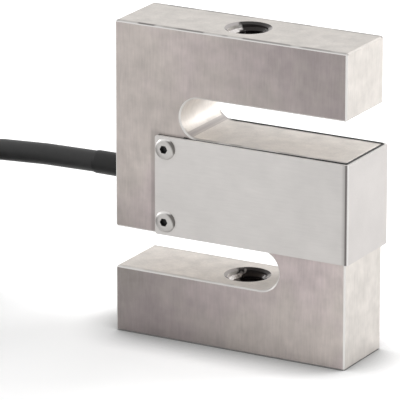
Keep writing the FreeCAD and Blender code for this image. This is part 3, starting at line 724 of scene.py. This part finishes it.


# painted light: the walls of the slots are made brighter
def brightened_slots(tree, colour):
    """Walls inside the block's outline: neither its ends nor its top and foot."""
    x, _, z = split(tree, object_place(tree))
    inside = times(
        tree,
        ramp(tree, calc(tree, "ABSOLUTE", x), 25.2 * MM, 25.1 * MM),
        between(tree, z, 0.2 * MM, 0.3 * MM, 63.1 * MM, 63.2 * MM),
        facing(tree, "Y", *NO_START, 0.3, 0.5),
    )
    return overlay(tree, colour, calc_xyz(tree, "SCALE", colour, SLOT_LIGHT_GAIN), inside)


# painted shadow: a dark line on the front and back beside the cover's left edge
def painted_cover_shadow(tree, colour):
    x, _, z = split(tree, object_place(tree))
    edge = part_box("cover")[0][0]
    beside = between(tree, x, edge - 1.6 * MM, edge - 1.15 * MM, edge, edge + 1 * MM)
    level = between(tree, z, 20.5 * MM, 21.5 * MM, 42 * MM, 43 * MM)
    flank = facing(tree, "Y", 0.9, 0.97)
    return overlay(tree, colour, COVER_EDGE_SHADE, times(tree, beside, level, flank, COVER_EDGE_SHADE_AMOUNT))


# %% [markdown]
# ## Painted shade in the tapped holes
# Both holes are painted dark on their walls and ridges, most at their front and back, with a ragged
# limit: a painted shade and dark reflection. The mouths are countersunk and duller than the faces.
# The body and the threads share the painted shade, so it is a node group that gives a mask.

# %% Bore shade group and the body's finish
# painted shade and dark reflection on the front and back of both bores
BORE_SHADE = (0.022, 0.018, 0.017)
MOUTH_DULL = (0.46, 0.43, 0.42)
SHADE_RADIUS = 4.70
SHADE_PATCH_SCALE, SHADE_PATCH_AMOUNT = 700.0, 0.9


def painted_bore_group():
    """1 on the front and back of a bore about the load axis, 0 outside it."""
    group, _ = new_tree("ShaderNodeTree", "bore_painted_shade", (), (("Mask", "Float"),))
    place = object_place(group)
    level = calc_xyz(group, "MULTIPLY", place, (1, 1, 0))
    radius = calc_xyz(group, "LENGTH", level)
    ray = calc_xyz(group, "NORMALIZE", level)
    lean = calc(group, "ABSOLUTE", calc_xyz(group, "DOT_PRODUCT", ray, AXES["Y"]))
    patches = noise(group, place, SHADE_PATCH_SCALE)
    ragged = calc(group, "MULTIPLY_ADD", patches, SHADE_PATCH_AMOUNT, lean)
    dark_band = ramp(group, ragged, 1.00, 1.16, 0.15, 1.0)
    inside = ramp(group, radius, SHADE_RADIUS * MM, (SHADE_RADIUS - 0.02) * MM)
    node(group, "NodeGroupOutput", {"Mask": times(group, dark_band, inside)})
    return group


BORE_SHADE_GROUP = painted_bore_group()


def bore_shade_mask(tree):
    return node(tree, "ShaderNodeGroup", node_tree=BORE_SHADE_GROUP).outputs["Mask"]


def turned_mouths(tree, colour):
    return overlay(tree, colour, MOUTH_DULL, facing(tree, "Z", 0.74, 0.80, 0.90, 0.95))


# painted shade on the bore walls
def shaded_bores(tree, colour):
    upright = facing(tree, "Z", *NO_START, 0.90, 0.97)
    return overlay(tree, colour, BORE_SHADE, times(tree, bore_shade_mask(tree), upright))


BODY_EFFECTS = (ground_skin_and_painted_light, highlighted_edges, shaded_lip, brightened_slots, painted_cover_shadow)
recolour(body_steel, *BODY_EFFECTS, turned_mouths, shaded_bores)

# %% [markdown]
# ## The cover's sheet
# The cover is thin stainless sheet, brushed along its length and folded twice. Each fold is painted
# dark just before the bend and bright past it: a painted shade and a painted highlight. The sides
# are painted lighter towards the open end and darker just before the fold, a painted light and
# shade. The end face is made darker, and the sheet's slanted edges get a painted highlight. One
# mask places each of these.

# %% Cover steel
LEVEL_STREAKS = (260, 2600, 2600)
cover_steel = machined_steel(
    "cover_steel", (0.68, 0.655, 0.635), 0.35, 0.42, 0.2, 0.10, LEVEL_STREAKS, 0.08
)
# painted shade and painted highlight on the folds' curved faces
FOLD_SHADE, FOLD_HIGHLIGHT = (0.16, 0.145, 0.14), (0.80, 0.79, 0.78)
BEND_BANDS = (
    # how far a face leans along X where the band starts, is full, fades and ends, and its colour
    (0.02, 0.12, 0.55, 0.68, FOLD_SHADE),
    (0.68, 0.76, 0.86, 0.94, FOLD_HIGHLIGHT),
)
END_FACE_TONE = (0.80, 0.79, 0.79)


def painted_fold_light(tree, colour):
    for *limits, tone in BEND_BANDS:
        colour = overlay(tree, colour, tone, facing(tree, "X", *limits))
    return colour


def painted_side_light(tree, colour):
    """Brighter at the open end, and darker over the last millimetre before the fold: painted light
    and shade.
    """
    x = split(tree, object_place(tree))["X"]
    side_light = ramp(tree, x, -14 * MM, 25 * MM, 1.10, 0.98)
    leaning = ramp(tree, x, 24.9 * MM, 25.8 * MM, 0.0, 0.5)
    near_fold = times(tree, leaning, facing(tree, "Y", 0.9, 0.99))
    return overlay(tree, calc_xyz(tree, "SCALE", colour, side_light), FOLD_SHADE, near_fold)


# the end face is made darker
def darker_end_face(tree, colour):
    duller = calc_xyz(tree, "MULTIPLY", colour, END_FACE_TONE)
    return overlay(tree, colour, duller, facing(tree, "X", 0.98, 0.995))


# painted highlight on the sheet's slanted edges
def highlighted_sheet_edges(tree, colour):
    return overlay(tree, colour, EDGE_HIGHLIGHT, facing(tree, "Z", 0.6, 0.9))


recolour(cover_steel, painted_fold_light, painted_side_light, darker_end_face, highlighted_sheet_edges)

# %% [markdown]
# ## Steel of the screws and threads
# A button head's dome is polished, with a dark and a bright sickle where it curves away: a painted
# shade and a painted highlight. Its hexagon socket is broached, and its dark colour is a painted
# shade. The ridges of a tapped thread are cut clean and shine between the painted shade. All three
# start from the machined finish, with small even marks.

# %% Screw and thread steel
EVEN_MARKS = (900, 900, 900)
screw_steel = machined_steel(
    "screw_steel", (0.60, 0.58, 0.56), 0.45, 0.34, 0.10, 0.06, EVEN_MARKS, 0.05
)
# painted shade: the socket's faces get a near black finish
socket_painted_shade = machined_steel(
    "socket_painted_shade", (0.03, 0.03, 0.03), 0.5, 0.5, 0.10, 0.06, EVEN_MARKS, 0.05
)
thread_steel = machined_steel(
    "thread_steel", (0.85, 0.81, 0.79), 0.6, 0.24, 0.4, 0.1, (1200, 1200, 1200), 0.05
)
# painted shade and painted highlight on the dome, by the way its faces point
DOME_SHADE_AND_HIGHLIGHT = (
    # the way the dome points there, and the colour
    ((0.75, 0, 0.66), (0.15, 0.14, 0.13)),
    ((-0.45, 0, 0.89), (0.90, 0.88, 0.86)),
)


def painted_dome_light(tree, colour):
    normal = node(tree, "ShaderNodeNewGeometry").outputs["Normal"]
    for towards, tone in DOME_SHADE_AND_HIGHLIGHT:
        lean = calc_xyz(tree, "DOT_PRODUCT", normal, towards)
        colour = overlay(tree, colour, tone, ramp(tree, lean, 0.30, 0.52))
    return colour


# painted shade on the thread ridges
def shaded_ridges(tree, colour):
    return overlay(tree, colour, BORE_SHADE, bore_shade_mask(tree))


recolour(screw_steel, painted_dome_light)
recolour(thread_steel, shaded_ridges)

# %% [markdown]
# ## Screw threads
# Each arm has a tapped M8 hole. The solids keep it a plain bore, so the ridge of the thread is
# added here. A thread is a profile that follows a helix, which is what Geometry Nodes do well: a
# spiral curve, a three-cornered profile, and Curve to Mesh. The same tree serves both holes.

# %% Thread tree
THREAD_PITCH = 1.25
# half of the ridge's foot, as a share of the pitch, and how far the foot is sunk into the wall
RIDGE_HALF, RIDGE_SUNK = 0.46, 0.05
POINTS_PER_COIL = 40


def end_tree(tree, geometry, material, mask=None, masked=None):
    """The end of a tree: real geometry in one material, or in another where a mask says."""
    real = node(tree, "GeometryNodeRealizeInstances", {"Geometry": geometry})
    kind = "GeometryNodeSetMaterial"
    dressed = node(tree, kind, {"Geometry": real, "Material": material})
    if mask:
        inputs = {"Geometry": dressed, "Selection": mask, "Material": masked}
        dressed = node(tree, kind, inputs)
    node(tree, "NodeGroupOutput", {"Geometry": dressed})


def thread_tree(material):
    tree, given = new_tree(
        "GeometryNodeTree",
        "thread_ridge",
        (
            ("Bore Radius", "Float", 4.0 * MM),
            ("Pitch", "Float", THREAD_PITCH * MM),
            ("Ridge", "Float", 0.62 * MM),
            ("Turns", "Float", 9.0),
        ),
        (("Geometry", "Geometry"),),
    )
    rise = times(tree, given["Pitch"], given["Turns"])
    rule = {"Resolution": POINTS_PER_COIL, "Rotations": given["Turns"], "Height": rise}
    rule |= {f"{end} Radius": given["Bore Radius"] for end in ("Start", "End")}
    helix = node(tree, "GeometryNodeCurveSpiral", rule)
    upright = node(tree, "GeometryNodeSetCurveNormal", {"Curve": helix}, mode="Z_UP")
    foot = times(tree, given["Pitch"], RIDGE_HALF)
    # the curve's normal points to the axis, so the crest lies on the profile's +X side
    corners = {
        "Point 1": joined(tree, Y=times(tree, foot, -1.0)),
        "Point 2": joined(tree, X=given["Ridge"]),
        "Point 3": joined(tree, Y=foot),
        "Point 4": (-RIDGE_SUNK * MM, 0, 0),
    }
    profile = node(tree, "GeometryNodeCurvePrimitiveQuadrilateral", corners, mode="POINTS")
    swept = {"Curve": upright, "Profile Curve": profile, "Fill Caps": True}
    end_tree(tree, node(tree, "GeometryNodeCurveToMesh", swept), material)
    return tree


# %% [markdown]
# ## Threads in both arms
# A tap leaves full ridges only between the two countersunk mouths, so the number of turns follows
# from the arm's height. The object could be moved up into the arm, but its mesh is lifted instead,
# so that all objects stay at the origin. The crests stay flat-shaded and crisp.

# %% Place the threads
MOUTH_DEPTH, ARM_HEIGHT = 0.4, 13.4
ridge_tree = thread_tree(thread_steel)


def grown(name, tree, mesh=None, **values):
    """The plain mesh that a Geometry Nodes tree makes, with values for its named inputs."""
    holder = add_object(name, mesh or bpy.data.meshes.new(name))
    modifier = holder.modifiers.new("shape", "NODES")
    modifier.node_group = tree
    for item in tree.interface.items_tree:
        if item.name in values:
            modifier[item.identifier] = values[item.name]
    return as_mesh(holder)


def make_thread(name, floor_height):
    """A thread between the two mouth cones of one arm."""
    turns = (ARM_HEIGHT - 2 * MOUTH_DEPTH - THREAD_PITCH) / THREAD_PITCH
    ridge = grown(name, ridge_tree, Turns=turns)
    lift = Vector((0, 0, floor_height + MOUTH_DEPTH + THREAD_PITCH / 2)) * MM
    ridge.data.transform(Matrix.Translation(lift))
    for polygon in ridge.data.polygons:
        polygon.use_smooth = False
    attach(ridge, "root")
    radii = [vertex.co.xy.length / MM for vertex in ridge.data.vertices]
    reach = round(min(radii), 2), round(max(radii), 2)
    print(name, len(ridge.data.polygons), "faces, radii", reach)


make_thread("thread_lower", 0)
make_thread("thread_upper", body_high.z / MM - ARM_HEIGHT)

# %% [markdown]
# ## Cover screws
# Four low button heads hold the cover. A head could be turned from a drawn outline, but its height
# follows a rule: flat in the middle, then a quarter ellipse down to the rim. So Geometry Nodes
# give that height to a cone of many rings. The shank and the socket's cutter are plain rods.

# %% Head and rods
SCREW_SIZES = {
    "Head Diameter": 4.4,
    "Head Height": 0.7,
    "Flat Diameter": 2.0,
    "Socket Width": 1.5,
    "Socket Depth": 0.8,
    "Shank Diameter": 2.5,
    "Shank Length": 5.0,
}
HEAD_SIDES, HEAD_RINGS, SHANK_SIDES = 48, 16, 24
# how far the shank reaches into the head, and the play with which the socket's faces are found
SHANK_OVERLAP, SOCKET_PLAY = 0.05, 0.02


def domed_head(tree, given, spot):
    """A cone with the height rule of a button head."""
    rim = times(tree, given["Head Diameter"], 0.5)
    flat = times(tree, given["Flat Diameter"], 0.5)
    sizes = {"Vertices": HEAD_SIDES, "Side Segments": HEAD_RINGS, "Radius Bottom": rim, "Depth": MM}
    blank = node(tree, "GeometryNodeMeshCone", sizes, fill_type="NGON")
    x, y, _ = split(tree, spot)
    radius = calc_xyz(tree, "LENGTH", joined(tree, X=x, Y=y))
    slope = calc(tree, "SUBTRACT", rim, flat)
    share = calc(tree, "DIVIDE", calc(tree, "SUBTRACT", radius, flat), slope)
    share = calc(tree, "MINIMUM", calc(tree, "MAXIMUM", share, 0.0), 1.0)
    fall = calc(tree, "SQRT", calc(tree, "SUBTRACT", 1.0, times(tree, share, share)))
    height = times(tree, fall, given["Head Height"])
    inputs = {"Geometry": blank.outputs["Mesh"], "Position": joined(tree, X=x, Y=y, Z=height)}
    return node(tree, "GeometryNodeSetPosition", inputs).outputs[0], radius


def rod(tree, sides, radius, depth, height):
    """An upright cylinder with its middle at a height."""
    inputs = {"Vertices": sides, "Radius": radius, "Depth": depth}
    straight = node(tree, "GeometryNodeMeshCylinder", inputs).outputs["Mesh"]
    moved = {"Geometry": straight, "Translation": joined(tree, Z=height)}
    return node(tree, "GeometryNodeTransform", moved).outputs[0]


# %% [markdown]
# ## One screw, four times
# The shank is joined to the head and the hexagon socket is cut out, both with exact Booleans, which
# keep the piece closed. The socket's faces are remembered for a dark finish of their own, a painted
# shade. Then the screw is copied to four points, and each copy faces away from the middle.

# %% Screw tree


def screw_tree(steel, dark):
    inputs = [("Places", "Geometry", None)]
    inputs += [(name, "Float", value * MM) for name, value in SCREW_SIZES.items()]
    tree, given = new_tree("GeometryNodeTree", "cover_screws", inputs, (("Geometry", "Geometry"),))
    spot = node(tree, "GeometryNodeInputPosition").outputs[0]
    head, radius = domed_head(tree, given, spot)
    reach = calc(tree, "ADD", given["Shank Length"], SHANK_OVERLAP * MM)
    sunk = calc(tree, "MULTIPLY_ADD", reach, -0.5, SHANK_OVERLAP * MM)
    shank = rod(tree, SHANK_SIDES, times(tree, given["Shank Diameter"], 0.5), reach, sunk)
    whole = node(tree, "GeometryNodeMeshBoolean", operation="UNION", solver="EXACT")
    for piece in (head, shank):
        tree.links.new(piece, whole.inputs["Mesh 2"])
    corner = times(tree, given["Socket Width"], 1 / math.sqrt(3))
    cutter = rod(tree, 6, corner, times(tree, given["Socket Depth"], 2.0), given["Head Height"])
    cut = node(tree, "GeometryNodeMeshBoolean", operation="DIFFERENCE", solver="EXACT")
    tree.links.new(whole.outputs["Mesh"], cut.inputs["Mesh 1"])
    tree.links.new(cutter, cut.inputs["Mesh 2"])
    # the socket's walls and floor lie inside its corners and below the flat
    near = calc(tree, "LESS_THAN", radius, times(tree, corner, 1 + SOCKET_PLAY))
    under = calc(tree, "SUBTRACT", given["Head Height"], SOCKET_PLAY * MM)
    below = calc(tree, "LESS_THAN", split(tree, spot)["Z"], under)
    marked = node(
        tree,
        "GeometryNodeStoreNamedAttribute",
        {"Geometry": cut.outputs["Mesh"], "Name": "in_socket", "Value": times(tree, near, below)},
        data_type="BOOLEAN",
        domain="FACE",
    )
    outward = calc_xyz(tree, "MULTIPLY", spot, AXES["Y"])
    turned = node(tree, "FunctionNodeAlignRotationToVector", {"Vector": outward}, axis="Z")
    seated = {"Points": given["Places"], "Instance": marked, "Rotation": turned}
    copies = node(tree, "GeometryNodeInstanceOnPoints", seated)
    recess = node(
        tree, "GeometryNodeInputNamedAttribute", {"Name": "in_socket"}, data_type="BOOLEAN"
    )
    end_tree(tree, copies, steel, recess.outputs["Attribute"], dark)
    return tree


# %% [markdown]
# ## The screws' places
# Each screw sits where its solid does, so the solids' boxes give the four points. The head's
# underside lies one head height in from the screw's outermost face. One object then takes the
# place of all four solids, with sharp corners at the socket and a smooth dome.

# %% Place the screws
SHARP_ANGLE = math.radians(35)
SCREW_NODES = [
    f"cover_screw_{side}_{level}" for side in ("front", "rear") for level in ("upper", "lower")
]
seats = []
for screw_node in SCREW_NODES:
    low, high = (Vector(corner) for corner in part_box(screw_node))
    seat = (low + high) / 2
    head = SCREW_SIZES["Head Height"] * MM
    seat.y = low.y + head if seat.y < 0 else high.y - head
    seats.append(seat)
seat_mesh = bpy.data.meshes.new("cover_screws")
seat_mesh.from_pydata(seats, [], [])
cover_screws = grown("cover_screws", screw_tree(screw_steel, socket_painted_shade), seat_mesh)
cover_screws.data.set_sharp_from_angle(angle=SHARP_ANGLE)
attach(cover_screws, "root")
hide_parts(*SCREW_NODES)
print("screws", len(cover_screws.data.polygons), "faces")

# %% [markdown]
# ## Fine grain
# The rest is matte or glossy plastic, rubber, laminate, solder and enamel. Up close none of them is
# even. One grain group serves them all: noise that varies the colour and the roughness a little,
# and a fine relief.

# %% Grain group


def grain_group():
    group, given = new_tree(
        "ShaderNodeTree",
        "fine_grain",
        (
            ("Scale", "Float", 900.0),
            ("Amount", "Float", 0.2),
            ("Roughness", "Float", 0.5),
            ("Base", "Color", rgb(0.5, 0.5, 0.5)),
        ),
        FINISH_RESULTS,
    )
    grain = noise(group, object_place(group), given["Scale"], 5.0)
    change = times(group, calc(group, "SUBTRACT", grain, 0.5), given["Amount"])
    colour, rough = varied(group, given["Base"], change, given["Roughness"], 1.0)
    node(group, "NodeGroupOutput", {"Color": colour, "Roughness": rough, "Height": grain})
    return group


GRAIN = grain_group()


def grained(name, base, roughness, amount=0.2, scale=900.0, bump=0.1, **shader_values):
    values = {"Scale": scale, "Amount": amount, "Roughness": roughness, "Base": rgb(*base)}
    return finished(name, GRAIN, bump, values, **shader_values)


# %% [markdown]
# ## Rubber, plastic and the small parts inside
# Black PVC is matte with little shine, so its specular level is low. Rubber is rougher, solder and
# braid are bare metal, and enamelled wire is metal with a copper tint. Pieces inside the body get
# finishes as well, because the cover may be taken off.

# %% Finishes of the remaining pieces
PVC_SHINE = 0.22
cable_black = grained(
    "cable_black", (0.042, 0.042, 0.042), 0.45, 0.25, 700.0, 0.1, Specular_IOR_Level=PVC_SHINE
)
sleeve_black = grained(
    "sleeve_black", (0.026, 0.026, 0.026), 0.45, 0.2, 800.0, 0.1, Specular_IOR_Level=PVC_SHINE
)
gasket_rubber = grained("gasket_rubber", (0.03, 0.03, 0.03), 0.75, 0.3, 1500.0, 0.2)
seal_rubber = grained("seal_rubber", (0.05, 0.05, 0.05), 0.7, 0.3, 1500.0, 0.2)
silicone_coat = grained("silicone_coat", (0.75, 0.76, 0.76), 0.45, 0.05)
adhesive = grained("adhesive", (0.70, 0.70, 0.68), 0.5, 0.1)
gauge_film = grained("gauge_film", (0.62, 0.33, 0.08), 0.3, 0.15, 2000.0, 0.05)
board_laminate = grained("board_laminate", (0.05, 0.22, 0.10), 0.35, 0.25, 1800.0, 0.1)
resistor_ceramic = grained("resistor_ceramic", (0.05, 0.05, 0.06), 0.5, 0.2)
solder = grained("solder", (0.62, 0.63, 0.65), 0.25, 0.1, 1200.0, 0.1, Metallic=1.0)
enamelled_wire = grained("enamelled_wire", (0.50, 0.17, 0.06), 0.3, 0.1, Metallic=0.9)
crimp_metal = grained("crimp_metal", (0.66, 0.66, 0.67), 0.4, 0.1, Metallic=1.0)
tinned_braid = grained("tinned_braid", (0.60, 0.60, 0.60), 0.35, 0.3, 3000.0, 0.3, Metallic=1.0)
INSULATION = {
    "red": (0.62, 0.03, 0.02),
    "black": (0.02, 0.02, 0.02),
    "green": (0.03, 0.35, 0.08),
    "white": (0.85, 0.85, 0.83),
}
insulation = {
    colour: grained(f"insulation_{colour}", base, 0.3, 0.08, 900.0, 0.05)
    for colour, base in INSULATION.items()
}
insulation["shield"] = tinned_braid
print("materials", len(bpy.data.materials))

# %% [markdown]
# ## Squeezed rubber
# Under the screws' pull a little of the gasket comes out past the sheet's upper edge. It could be a
# bevel on the gasket, but the solid stays as it is. It is a thin bead that follows the fold, so its
# path is a curve in Geometry Nodes, with a round profile.

# %% Gasket bead
BEAD_DIAMETER, BEAD_SIDES = 0.46, 10
# where the bead starts on the front and back, and how far it lies below the sheet's edge there
BEAD_START, BEAD_SUNK = -9.9, 0.16
BEAD_CORNER, CORNER_STEPS = 0.5, 4


def bead_tree(material):
    inputs = (("Path", "Geometry", None), ("Bead Radius", "Float", BEAD_DIAMETER / 2 * MM))
    outputs = (("Geometry", "Geometry"),)
    tree, given = new_tree("GeometryNodeTree", "squeezed_bead", inputs, outputs)
    path = node(tree, "GeometryNodeMeshToCurve", {"Mesh": given["Path"]})
    sizes = {"Resolution": BEAD_SIDES, "Radius": given["Bead Radius"]}
    circle = node(tree, "GeometryNodeCurvePrimitiveCircle", sizes)
    swept = {"Curve": path, "Profile Curve": circle, "Fill Caps": True}
    end_tree(tree, node(tree, "GeometryNodeCurveToMesh", swept), material)
    return tree


def bead_path():
    """Places along the middle of the gasket's thickness, at the top of the cover."""
    gasket_high = Vector(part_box("cover_gasket")[1])
    left, corner = BEAD_START * MM, BEAD_CORNER * MM
    right = (gasket_high.x + body_high.x) / 2
    back = (gasket_high.y + body_high.y) / 2
    spots = [(left, -back), (left + 0.6 * MM, -back), (left + 1.2 * MM, -back), (0.0, -back)]
    for x, y, first in ((right - corner, corner - back, -90), (right - corner, back - corner, 0)):
        spots += quarter(x, y, corner, first, CORNER_STEPS)
    spots.append((left, back))
    sunk = [0, 0, BEAD_SUNK, BEAD_SUNK] + [0] * (len(spots) - 4)
    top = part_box("cover")[1][2]
    return [(x, y, top - down * MM) for (x, y), down in zip(spots, sunk)]


bead_places = bead_path()
bead_mesh = bpy.data.meshes.new("gasket_bead")
bead_mesh.from_pydata(bead_places, [(k, k + 1) for k in range(len(bead_places) - 1)], [])
gasket_bead = grown("gasket_bead", bead_tree(gasket_rubber), bead_mesh)
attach(gasket_bead, "root")
print("bead faces", len(gasket_bead.data.polygons))

# %% [markdown]
# ## Dressing the pieces
# Every piece now gets its finish. That could be one call each, but a table of solids is easier to
# check against the real thing. The pieces made here, the cable, tie and leads, come after it.

# %% Dress the pieces
NODE_FINISHES = {
    "spring_body": body_steel,
    "cover": cover_steel,
    "cover_gasket": gasket_rubber,
    "bridge_board": board_laminate,
    "board_adhesive": adhesive,
    "solder_terminals": solder,
    "span_resistor_positive": resistor_ceramic,
    "span_resistor_negative": resistor_ceramic,
    "zero_balance_resistor": resistor_ceramic,
    "gauge_wires": enamelled_wire,
    "cable_jacket_inner": cable_black,
    "cable_sleeve": sleeve_black,
    "cable_seal": seal_rubber,
    "cable_crimp": crimp_metal,
    "shield_drain": tinned_braid,
    "end_sleeve": sleeve_black,
    "lead_tips": solder,
}
for place in ("upper_left", "upper_right", "lower_left", "lower_right"):
    NODE_FINISHES[f"strain_gauge_{place}"] = gauge_film
    NODE_FINISHES[f"gauge_coat_{place}"] = silicone_coat
for colour in INSULATION:
    NODE_FINISHES[f"core_{colour}"] = insulation[colour]


def dress(thing, material):
    """Gives a piece one material, in its object's or mesh's slots."""
    if thing.material_slots:
        for held in thing.material_slots:
            held.link = "OBJECT"
            held.material = material
    else:
        thing.data.materials.append(material)


for node_name, finish in NODE_FINISHES.items():
    dress(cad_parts[node_name], finish)
dress(cable, cable_black)
dress(coil_tie, sleeve_black)
for colour, lead in leads.items():
    dress(lead, insulation[colour])
print("dressed", len(NODE_FINISHES), "solids,", len(leads), "leads, the cable and its tie")

# %% [markdown]
# ## Sizes
# Dressing must not change the part's size. The box of the finished model is printed.

# %% Print the size
low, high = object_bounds()
print("visual box", [round(v, 4) for v in (*low, *high)])
